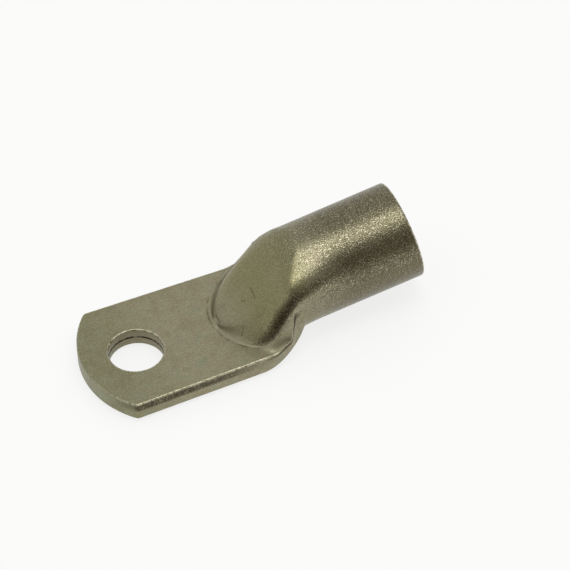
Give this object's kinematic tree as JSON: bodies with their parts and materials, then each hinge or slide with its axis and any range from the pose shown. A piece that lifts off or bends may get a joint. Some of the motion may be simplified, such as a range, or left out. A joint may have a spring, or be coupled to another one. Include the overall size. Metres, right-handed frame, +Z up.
{
  "type": "cable lug",
  "caption": "Tinned copper cable lug: a round barrel for a stranded cable, pressed down at an angle into a flat palm with a bolt hole and a curved tip.",
  "frame": {"origin": "centre of the bolt hole, on the palm's flat contact face", "axes": "+Z up the bolt's axis, out of the contact face into the palm; +X along the lug from the bolt hole towards the barrel's mouth; +Y across the palm"},
  "size_m": [0.0829, 0.0326, 0.027],
  "materials": {
    "tinned_copper": "tinned copper, dull, with a faint brown and olive tarnish"
  },
  "bodies": {
    "root": {"lug_body": "tinned_copper"}
  },
  "joints": []
}
